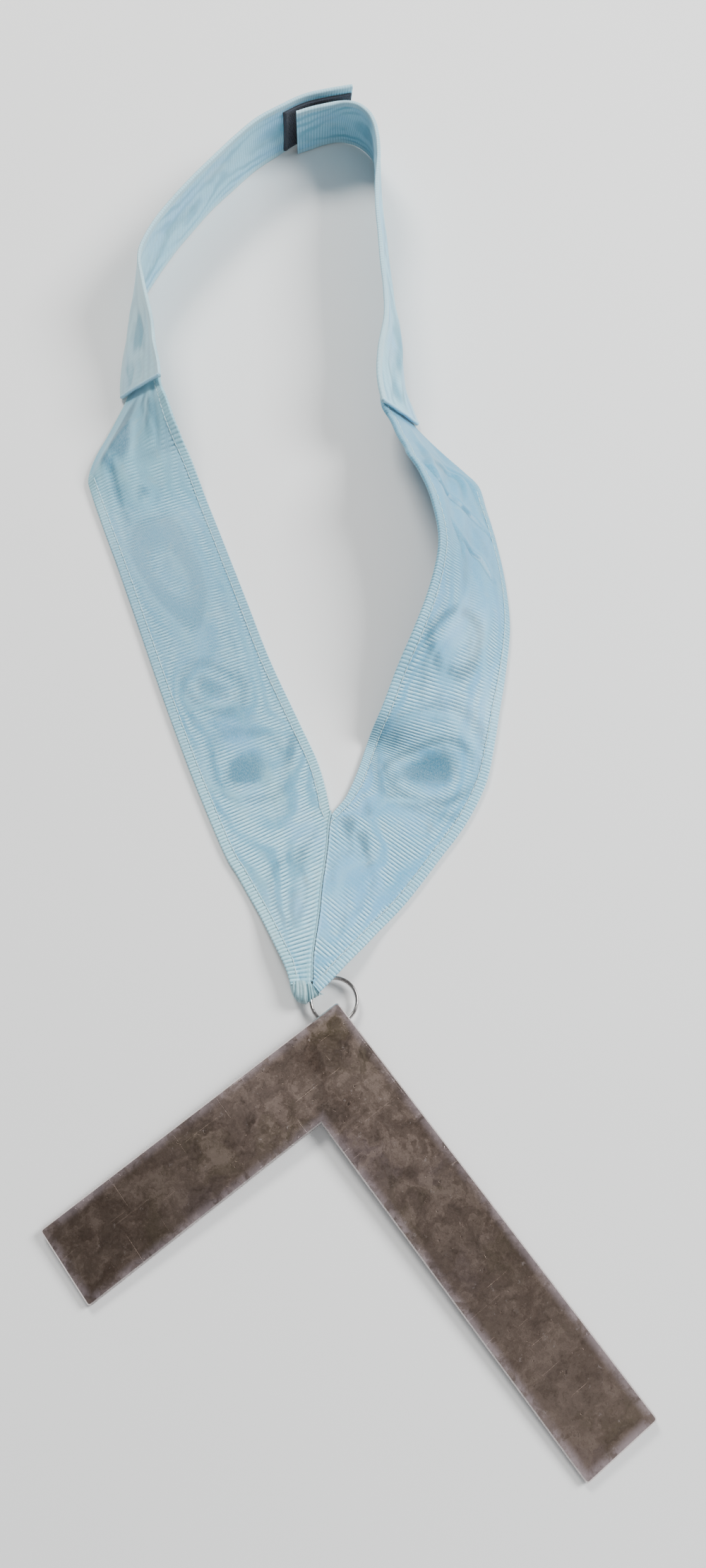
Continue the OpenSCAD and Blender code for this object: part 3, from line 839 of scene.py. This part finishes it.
left_look = leg_look(
    leg_left, 0, LEFT_TEAL, LEFT_PLAIN, LEFT_LENSES, LEFT_PALE, LEFT_CREASES, hem_left,
    rib_fade=lambda s, u: 1 - 0.42 * smooth(13.2, 14.6, s) - 0.46 * smooth(14.6, 16.6, s - 1.2 * u),
    shade_of=lambda s, u: smooth(7.5, 12.5, s) * (1 - 0.9 * smooth(13, 15.5, s)),
    grey_of=lambda s, u: 0.6 * smooth(12.5, 15, s) + 0.15 * (smooth(0.3, 0.9, u) + 1 - smooth(6, 9, s)),
    hem_to=16, lip_to=7.6)
right_look = leg_look(
    leg_right, 37, RIGHT_TEAL, RIGHT_PLAIN, RIGHT_LENSES, RIGHT_PALE, RIGHT_CREASES, hem_right,
    rib_fade=lambda s, u: 1 - 0.95 * smooth(16.2, 18.6, s + 1.2 * (1 - u)),
    shade_of=lambda s, u: 0.8 * smooth(14.5, 17.5, s) + 0.1 * smooth(18, 21, s),
    grey_of=lambda s, u: 0.12 * smooth(0.3, 0.9, u),
    hem_to=20.2, blue=0.8)
LEG_CELLS, STRAP_CELLS = (42, 8), (18, 18)  # cells across the front and the back
ribbon_left = ribbon_body("ribbon_left_cloth", leg_left, ribbon_mat, LEG_CELLS, left_look, (0, 0),
                          lambda s: 0.12 + 0.88 * smooth(7.9, 8.7, s))
ribbon_right = ribbon_body("ribbon_right_cloth", leg_right, ribbon_mat, LEG_CELLS, right_look, (5, 10.6),
                           lambda s: 0.12 + 0.88 * smooth(9, 9.8, s))

STRAP_EYES = table("""
16 0.49 6 0.14 1
44 0.62 8 0.16 1
78 0.38 9 0.18 1
118 0.55 10 0.16 1
140 0.4 6 0.12 0.8
""")

STRAP_LEFT_TEAL = [[14.5, 0.68, 5.5, 0.13, 1.3], [7, 0.3, 3, 0.06, 0.6], [60, 0.45, 16, 0.12, 0.6]]
STRAP_RIGHT_TEAL = [[30, 0.4, 12, 0.14, 0.8], [9, 0.6, 5, 0.12, 0.7], [70, 0.55, 14, 0.1, 0.5]]
STRAP_LEFT_CREASES = paths(2, """
0.45 1.2 0.15 0.2 0.5 0.34 0.9 0.42 1.3 0.4
0.35 1 0.2 0.52 0.6 0.6 1.1 0.62
0.35 1.2 1.3 0.62 1.9 0.74 2.6 0.7
""")
STRAP_RIGHT_CREASES = paths(2, """
0.4 1.1 0.2 0.78 0.7 0.64 1.3 0.55 2 0.55
0.35 1 0.2 0.3 0.8 0.36 1.5 0.3
0.35 1.1 1.6 0.7 2.4 0.62 3.2 0.66
""")


def strap_look(band, shift, teal, creases, grey):
    """grey is how faded the strap's lower end is."""
    def look(face, s, w, wide, along):
        water = watered(band, s, w, 1.9, shift, STRAP_EYES)
        dark = blots(band, s, w, teal)
        foot, crest = crease_lines(band, s, w, creases)
        in_hem = np.maximum(1 - smooth(1.9, 2.2, w), 1 - smooth(1.9, 2.2, wide - w))
        end = 1 - smooth(25, 55, along)
        stand = ((0.1 + 0.35 * smooth(0.1, 0.7, water)) * (1 - in_hem) + 0.3 * in_hem) * (1 - 0.75 * end)
        line = np.maximum(near_line(w, 2.05, 0.28), near_line(wide - w, 2.05, 0.28))
        depth = 0.26 * stand * rib_wave(along) + 0.1 * (1 - in_hem) + 0.12 * line + 0.04 * (1 - water)
        pale = grey * end
        # The feet of the creases get painted shade, through the teal and shade tags
        dark = (0.45 * (1 - water) * (1 - 0.7 * pale) + dark) * (1 - in_hem) + 0.75 * foot
        tags = {"water": water, "stand": stand, "plain": 0 * water, "hem": np.maximum(in_hem, pale),
                "teal": np.clip(dark, 0, 1), "shade": 0.8 * foot, "blue": 0.3 * (1 - pale)}
        return creased(face, depth, foot, crest), tags
    return look


strap_left_ob = ribbon_body(
    "strap_left_cloth", strap_left, strap_mat, STRAP_CELLS,
    strap_look(strap_left, 11, STRAP_LEFT_TEAL, STRAP_LEFT_CREASES, 0.75), (11, 3.18))
strap_right_ob = ribbon_body(
    "strap_right_cloth", strap_right, strap_mat, STRAP_CELLS,
    strap_look(strap_right, 90, STRAP_RIGHT_TEAL, STRAP_RIGHT_CREASES, 0.2), (17, 8.48))


# Stitches and threads
PITCH, STITCH = 2.65, 2.35  # from one stitch to the next, and how long one is


def stitch_line(band, line_of, rows, face):
    """Stitches between two rows."""
    first, last = np.interp(rows, band.s_of, band.along_of)
    rise = np.sin(np.linspace(0, math.pi, 6))
    v = face * (band.thick / 2 - 0.18 + 0.12 * rise)
    parts = []
    for k in range(int((last - first) / PITCH)):
        along = first + (k + 0.15) * PITCH + np.linspace(0, STITCH, 6)
        s = np.interp(along, band.along_of, band.s_of)
        parts.append(tube(band.at(s, line_of(s, band.wide(s)), v), 0.15 * (0.7 + 0.3 * rise), 6))
    return parts


def add_threads(name, parts, material):
    """Tubes joined into one mesh."""
    pts, quads, caps = zip(*parts)
    starts = np.cumsum([0] + [len(p) for p in pts[:-1]])
    faces = [np.vstack([f + start for f, start in zip(group, starts)]) for group in (quads, caps)]
    return add_mesh(name, to_row(np.vstack(pts)), faces, material)


def hem_stitches(name, band, inner_line, outer_rows, inner_rows):
    parts = []
    for face in (1, -1):
        for line_of, rows in ((outer_line, outer_rows), (inner_line, inner_rows)):
            parts += stitch_line(band, line_of, rows, face)
    return add_threads(name, parts, stitch_mat)


stitches_left = hem_stitches("stitches_left", leg_left, hem_left, (0.6, 15.8), (7.7, 20.5))
stitches_right = hem_stitches("stitches_right", leg_right, hem_right, (1.2, 20.0), (8.7, 24.5))


def seam_path():
    """The line where the two legs meet, from the tip of the V to its notch."""
    s = np.linspace(0.3, 8.0, 200)
    left = leg_left.at(s, leg_left.wide(s), leg_left.thick / 2)
    t = np.linspace(0.2, 9.1, 400)
    right = leg_right.at(t, leg_right.wide(t), leg_right.thick / 2)
    near = np.argmin(((left[:, None, :2] - right[None, :, :2]) ** 2).sum(-1), 1)
    return (left + right[near]) / 2


# The folded edge of the left leg stands beside the seam as a thin lip, with the thread along its foot
seam = seam_path()
seam_run = run_of(seam)
lip_radius = 0.37 - 0.1 * rib_wave(seam_run)
seam_lip = add_threads("seam_lip", [tube(seam + [-0.12, 0, -0.13], lip_radius, 12, squash=0.7)], lip_mat)


def seam_stitches(pitch=1.9, long=1.7):
    rise = np.sin(np.linspace(0, math.pi, 5))
    off = np.stack([0.3 + 0.04 * rise, 0 * rise, -0.1 + 0.1 * rise], 1)
    parts = []
    for k in range(int(seam_run[-1] / pitch)):
        at = (k + 0.2) * pitch + np.linspace(0, long, 5)
        pts = np.stack([np.interp(at, seam_run, seam[:, i]) for i in range(3)], 1)
        parts.append(tube(pts + off, 0.085, 6))
    return parts


seam_thread = add_threads("seam_thread", seam_stitches(), dark_thread_mat)


# The hook and loop pads, and the piping
def pad_material(name, dark, light, grain):
    n = Nodes(name)
    where = n.place()
    fuzz = n.noise(where, 1900, 4, 0.65)
    tufts = n.add("TexVoronoi", Vector=where, Scale=grain)
    dust = n.noise(where, 600, 5, 0.7)
    colour = n.mix(n.span(fuzz, 0.4, 0.68), dark, light)
    colour = n.tint(colour, [(n.span(tufts, 0, 0.5), 0.4, dark), (n.span(dust, 0.62, 0.78), 0.35, DUST)])
    n.set(Base_Color=colour, Roughness=n.span(fuzz, 0.3, 0.7, 0.55, 0.85),
          Normal=n.bump(fuzz, 0.0003, 0.7), Sheen_Weight=0.15)
    return n.mat


DUST = (0.22, 0.25, 0.3)
hook_mat = pad_material("hook_tape", (0.01, 0.013, 0.022), (0.045, 0.055, 0.085), 1100)
loop_mat = pad_material("loop_tape", (0.012, 0.015, 0.024), (0.06, 0.07, 0.1), 800)


def crest(turns):
    """From 1 at whole turns to 0 halfway between them."""
    return 0.5 + 0.5 * np.cos(math.tau * turns)


def pad_body(name, band, rows, out, material, knobs, high, lean=0.0):
    """A slab of tape on the strap's face, its open side covered with rows of small knobs. The lean moves
    its first edge's upper corner back along the strap, so that this edge stands upright."""
    n, m = PAD_GRID
    s, x = np.meshgrid(np.linspace(*rows, n), np.linspace(0, 1, m), indexing="ij")
    y = (s - rows[0]) / (rows[1] - rows[0])
    s = s - lean * x * (1 - y)
    w = (PAD_ACROSS[0] + (PAD_ACROSS[1] - PAD_ACROSS[0]) * x) * band.wide(s)
    along = band.along(s, w)
    rim = np.minimum(np.minimum(x, 1 - x) * PAD_RIM[0], np.minimum(y, 1 - y) * PAD_RIM[1])
    inside = smooth(0.9, 1.5, rim)
    stagger = 0.5 * (np.floor(w / knobs + 0.5) % 2)
    bumps = crest(w / knobs) * crest(along / knobs + stagger)
    weave = 0.06 * crest(along / 0.8)
    relief = weave * (1 - inside) + high * bumps * inside
    top = out * (FACE + 0.12 + (PAD_T - high - 0.22 + relief) * smooth(0.0, 0.35, rim))
    pts = np.concatenate([band.at(s, w, v).reshape(-1, 3) for v in (top, np.full_like(top, out * FACE))])
    grid, under = np.arange(n * m).reshape(n, m), n * m
    border = np.concatenate([grid[:-1, 0], grid[-1, :-1], grid[:0:-1, -1], grid[0, :0:-1]])
    after = np.roll(border, -1)
    walls = np.stack([border, border + under, after + under, after], 1)
    faces = np.vstack([lattice(n, m), lattice(n, m, start=under)[:, ::-1], walls])
    if band.side * out < 0:
        faces = faces[:, ::-1]
    return add_mesh(name, to_row(pts), [faces], material)


FACE = STRAP_T / 2 + 0.1  # where a pad starts, off a strap's middle surface
PAD_T, PAD_ACROSS, PAD_GRID = 1.3, (0.06, 0.88), (150, 110)
PAD_RIM = (20.5, 25)  # millimetres across and along, for the rounding of a rim
HOOK_ROWS, LOOP_ROWS = (13.2, 17.9), (15.2, 17.7)
hook_ob = pad_body("hook_pad_tape", strap_left, HOOK_ROWS, -1, hook_mat, 0.95, 0.45, 0.38)
loop_ob = pad_body("loop_pad_tape", strap_right, LOOP_ROWS, 1, loop_mat, 0.7, 0.35)


def piping(name, band):
    """The rounded trim over a strap's lower end."""
    w = np.linspace(0.6, float(band.wide(0)) - 0.4, 60)
    path = band.at(0 * w, w, 0.25)
    return add_threads(name, [tube(path, 0.55 * (1 + 0.06 * np.sin(w * 5.9)), 10)], piping_mat)


piping_left = piping("piping_left", strap_left)
piping_right = piping("piping_right", strap_right)

# Sections of the gathered end: x and y of one's upper and of its lower end, and half its height
TIP_SECTIONS = table("""
-17 78 -17.05 77.2 0.25
-16.8 78.3 -16.55 75.4 1.3
-16.3 78.5 -15.95 74.1 2
-15.4 78.7 -15.1 72.9 2.45
-14.3 78.8 -13.9 72.2 2.6
-13.2 78.6 -12.6 72 2.6
-12.2 78.3 -11.55 72.4 2.5
-11.4 77.9 -10.8 73.3 2.2
-10.6 77.2 -9.9 73.9 1.7
-9.7 76.5 -9.1 74.3 1.1
-9.1 75.9 -8.8 74.9 0.25
""")
# Its pleats: place across, depth and breadth
TIP_PLEATS = table("""
0.17 0.26 0.02
0.27 0.4 0.024
0.36 0.3 0.018
0.435 0.34 0.018
0.575 0.85 0.024
0.66 0.35 0.018
0.75 0.42 0.022
0.86 0.34 0.022
""")
TIP_HEIGHT = 2.78


def tip_knob():
    """The folded ends of both legs, gathered into pleats at the loop that holds the ring."""
    n, m, blur = 241, 120, 13
    rows = np.array(TIP_SECTIONS)
    even = np.linspace(0, len(rows) - 1, n)
    soften = np.hanning(2 * blur + 1)
    soften /= soften.sum()
    cols = [np.interp(even, np.arange(len(rows)), column) for column in rows.T]
    cols = [np.pad(column, blur, mode="reflect", reflect_type="odd") for column in cols]
    cols = np.stack([np.convolve(column, soften, "valid") for column in cols], 1)
    th = np.linspace(0, math.tau, m, endpoint=False)[None, :]
    u = np.linspace(0, 1, n)[:, None]
    lean = u + 0.018 * np.sin(1.5 * th + 5 * u) + 0.03 * np.cos(th) * (u - 0.5)
    groove = sum(depth * near_line(lean, at, breadth) for at, depth, breadth in TIP_PLEATS)
    fine = 0.05 * np.cos(math.tau * u * 8.6 / (RIB * 0.55) + 1.2 * np.sin(2 * th))
    mid = 0.5 * (cols[:, None, 0:2] + cols[:, None, 2:4])
    half = 0.5 * (cols[:, None, 2:4] - cols[:, None, 0:2])
    # A section is a rounded square rather than an oval
    reach, high = (np.sign(x) * np.abs(x) ** (2 / 2.7) for x in (np.cos(th), np.sin(th)))
    size = np.linalg.norm(half, axis=2)
    near = smooth(-1.0, -0.4, reach)
    reach = reach * (1 - (0.5 * groove + fine) * near / np.maximum(size, 1.0))
    xy = mid + half * reach[:, :, None]
    z = TIP_HEIGHT + high * (cols[:, 4:5] - (groove + fine) * near * np.clip(cols[:, 4:5] / 2, 0, 1))
    # A painted highlight along the middle ridge, painted shade in the pleats' grooves, and a little painted
    # shade over the whole knob
    pale = near_line(lean, 0.51, 0.05) * near
    dent = np.clip(groove, 0, 1)
    tags = {"water": 0.45 + 0.5 * pale - 0.3 * dent, "hem": 0.55 + 0.35 * pale,
            "stand": 0 * z + 0.3, "teal": 0.25 * dent, "plain": 0 * z, "shade": 0.25 + 0.5 * dent}
    loop = np.arange(m)[None, :]
    uv = np.dstack([size * th / 10, u * 0.86 + 0 * z]).reshape(-1, 2)
    faces = [lattice(n, m, closed=True), loop[:, ::-1], (n - 1) * m + loop]
    return add_mesh("tip_knob", to_row(np.dstack([xy, z])), faces, knob_mat, uv, tags)


def frayed_corner():
    """A few loose threads at the right leg's cut corner."""
    dice = np.random.default_rng(5)
    t = np.linspace(0, 1, 6)
    parts = []
    for _ in range(9):
        turn = math.radians(-62 + 60 * dice.random())
        run = (0.7 + 0.7 * dice.random()) * t
        bend = 0.5 * (dice.random() - 0.5) * t**2
        x = -9.3 + 0.4 * dice.random() + run * math.cos(turn) - bend * math.sin(turn)
        y = 74.7 + 0.4 * dice.random() + run * math.sin(turn) + bend * math.cos(turn)
        z = 3.4 + 0.9 * dice.random() - 0.3 * t**2
        parts.append(tube(np.stack([x, y, z], 1), 0.055, 5))
    return add_threads("frayed_corner", parts, stitch_mat)


knob, fray = tip_knob(), frayed_corner()

# The metal
SHORT_ARM, LONG_ARM, ARM_WIDTH = 93.8 * MM, 125.4 * MM, 22.3 * MM
SQUARE_CORNER, SQUARE_TURN = [-4.0, 72.1, 0], math.radians(217.7)
# Fine scratches run along each of these: how much finer each way, and the turn
SCRATCHES = (
    ((26, 1500, 60), 0.55),
    ((1700, 22, 60), -0.35),
    ((30, 1900, 60), -1.05),
    ((1500, 16, 60), 0.16),
)


def plate_material():
    """Tarnished silver plate: brown and grey clouds, lavender patches, scratches, worn edges, and a painted
    highlight on the bevels.
    """
    n = Nodes("tarnished_plate")
    # The square's own directions: x along the short arm and y along the long one, in metres from the corner
    corner = to_row(SQUARE_CORNER)[0]
    own = n.scaled(n.vector("SUBTRACT", n.place(), (corner[0], corner[1], 0)), turn=-SQUARE_TURN)
    x, y, _ = n.parts(own)
    nearer = n.math("MINIMUM", x, y)
    rim = n.math("MINIMUM", nearer, n.math("MINIMUM", n.minus(SHORT_ARM, x), n.minus(LONG_ARM, y)))
    rim = n.math("MINIMUM", rim, n.minus(ARM_WIDTH, nearer))
    # Patches with torn outlines: the noise is looked up at places that another noise has pushed about
    push = n.vector("SUBTRACT", n.noise(own, 130, 4, 0.6, out=1), (0.5, 0.5, 0.5))
    pushed = n.vector("ADD", own, n.scaled(push, (0.016, 0.016, 0.016)))
    cloud = n.noise(pushed, 52, 8, 0.66)
    scuff = n.noise(pushed, 150, 9, 0.7, shift=(0.4, 0.7, 0.2))
    speckle = n.noise(pushed, 430, 7, 0.7, shift=(0.3, 0.4, 0.9))
    olive = n.noise(pushed, 42, 6, 0.6, shift=(0.9, 0.1, 0.5))
    violet = n.noise(pushed, 60, 6, 0.6, shift=(0.2, 0.9, 0.8))
    grain = n.noise(own, 1500, 5, 0.72)
    fleck = n.noise(own, 520, 5, 0.72, shift=(1.4, 0.2, 0.1))
    painted_sheen = n.noise(own, 17, 2, 0.5, shift=(0.6, 0.279, 0.679))
    light_patch = n.span(scuff, 0.49, 0.66)
    pits = n.span(n.add("TexVoronoi", Vector=pushed, Scale=300, Randomness=1), 0.13, 0.05)
    scratches = 0
    for by, turn in SCRATCHES:
        line = n.span(n.noise(own, 1, 2, 0.5, by=by, turn=turn), 0.735, 0.765)
        scratches = n.math("MAXIMUM", scratches, line)
    worn = n.times(n.span(rim, 0.003, 0.0002), n.span(n.noise(pushed, 150, 6, 0.7), 0.38, 0.58, 0.25, 1))
    # The bevels, found by how far their normal tilts from straight up, are painted near white: partly worn
    # silver, partly painted highlight
    up = n.parts(n.add("NewGeometry", out=3))[2]
    bevelled = n.times(n.span(up, 0.35, 0.6), n.span(up, 0.97, 0.85))
    colour = n.mix(n.span(cloud, 0.36, 0.64), (0.094, 0.063, 0.047), (0.168, 0.125, 0.101))
    colour = n.tint(colour, [
        # a broad painted sheen, lighter in places
        (n.span(painted_sheen, 0.42, 0.62), 0.45, (0.215, 0.16, 0.138)),
        (n.span(olive, 0.5, 0.66), 0.55, (0.12, 0.098, 0.06)),
        (n.span(violet, 0.52, 0.68), 0.38, (0.18, 0.135, 0.145)),
        (light_patch, 0.6, (0.25, 0.193, 0.163)),
        (n.span(scuff, 0.46, 0.33), 0.5, (0.078, 0.056, 0.045)),
        (n.span(speckle, 0.52, 0.66), 0.45, (0.245, 0.188, 0.155)),
        (n.span(speckle, 0.46, 0.36), 0.42, (0.06, 0.041, 0.029)),
        (n.span(grain, 0.35, 0.7), 0.18, (0.24, 0.186, 0.16)),
        (n.span(fleck, 0.62, 0.7), 0.65, (0.38, 0.321, 0.301)),
        (pits, 0.55, (0.045, 0.033, 0.029)),
        (scratches, 0.1, (0.36, 0.298, 0.272)),
        # Painted shade: the arms darken away from the corner
        (n.span(n.math("MAXIMUM", x, y), 0.026, 0.066), 0.46, (0.07, 0.05, 0.038)),
        (worn, 0.65, (0.42, 0.344, 0.359)),
        # painted highlight on the bevels, partly worn silver
        (bevelled, 0.85, (0.72, 0.66, 0.64)),
    ])
    rough = n.plus(n.span(scuff, 0.35, 0.65, 0.28, 0.4), n.times(grain, 0.08))
    height = n.plus(n.times(fleck, 0.5), n.times(grain, 0.35), n.times(n.plus(scratches, pits), -0.6),
                    n.times(light_patch, 0.25))
    n.set(Base_Color=colour, Metallic=0.9, Roughness=n.minus(rough, n.times(bevelled, 0.14)),
          Normal=n.bump(height, 0.00008, 0.6))
    return n.mat


def ring_material():
    n = Nodes("nickel_wire")
    soft, fine = n.noise(n.place(), 500, 4, 0.6), n.noise(n.place(), 3000, 3, 0.6)
    colour = n.mix(n.span(soft, 0.38, 0.68), (0.3, 0.28, 0.27), (0.46, 0.44, 0.43))
    colour = n.tint(colour, [(n.span(fine, 0.6, 0.75), 0.4, (0.14, 0.12, 0.11))])
    n.set(Base_Color=colour, Metallic=1, Roughness=n.span(soft, 0.3, 0.7, 0.14, 0.28),
          Normal=n.bump(fine, 0.00003, 0.4))
    return n.mat


for node, mat in (("square", plate_material()), ("split_ring", ring_material())):
    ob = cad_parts[node]
    if not ob.material_slots:
        ob.data.materials.append(mat)
    for slot in ob.material_slots:
        slot.material = mat


# The floor and the light
def stage_floor(size=3):
    n = Nodes("floor")
    soft = n.noise(n.place(), 6, 2, 0.5)
    n.set(Base_Color=n.mix(soft, (0.74, 0.74, 0.73), (0.77, 0.77, 0.76)), Roughness=0.9)
    pts = [(x * size, y * size, -0.0002) for x, y in ((-1, -1), (1, -1), (1, 1), (-1, 1))]
    ob = add_mesh("floor", pts, [np.array([[0, 1, 2, 3]])], n.mat)


def area_light(name, at, towards, size, power, colour):
    data = bpy.data.lights.new(name, "AREA")
    data.shape, data.size, data.energy, data.color = "SQUARE", size, power, colour
    back = np.array(at, float) - towards
    back /= np.linalg.norm(back)
    right = np.cross([0, 1, 0], back)
    right /= np.linalg.norm(right)
    set_up(name, data, at, right, np.cross(back, right), back)


stage_floor()
area_light("key", (-0.4, 0.8, 0.9), (0, 0.05, 0), 0.4, 15.5, (1, 0.99, 0.97))
area_light("side", (0.85, 0.25, 0.75), (0, 0, 0), 0.45, 22, (0.98, 0.99, 1))
area_light("fill", (0.3, -0.8, 0.9), (0, 0, 0), 0.9, 4, (0.96, 0.98, 1))
world = bpy.data.worlds.new("world")
bpy.context.scene.world = world
world.use_nodes = True
sky = world.node_tree.nodes["Background"].inputs
sky[0].default_value, sky[1].default_value = (0.8, 0.82, 0.85, 1), 0.38

# What stands for what
SLOTS = {
    "watered_ribbon": [ribbon_left, ribbon_right, stitches_left, stitches_right, seam_lip, seam_thread],
    "strap_ribbon": [strap_left_ob, strap_right_ob, piping_left, piping_right],
    "hem_ribbon": [knob, fray],
    "hook_tape": [hook_ob],
    "loop_tape": [loop_ob],
}
for slot, pieces in SLOTS.items():
    for ob in pieces:
        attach(ob, "root")
for ob, node in (
        (ribbon_left, "ribbon_left"), (ribbon_right, "ribbon_right"), (strap_left_ob, "strap_left"),
        (strap_right_ob, "strap_right"), (hook_ob, "hook_pad"), (loop_ob, "loop_pad"), (knob, "tip_tab")):
    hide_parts(node)


def flat_area(band):
    """Area and length of a ribbon laid flat."""
    s = np.linspace(0, band.last, 800)
    w = band.wide(s)
    step = np.linalg.norm(np.diff(band.at(s, w / 2, 0), axis=0), axis=1)
    return float((step * (w[1:] + w[:-1]) / 2).sum()) * MM * MM, float(step.sum()) * MM


for ob, band, rests in ((ribbon_left, leg_left, "tip_knob"), (ribbon_right, leg_right, "tip_knob"),
                        (strap_left_ob, strap_left, "ribbon_left_cloth"),
                        (strap_right_ob, strap_right, "ribbon_right_cloth")):
    area, length = flat_area(band)
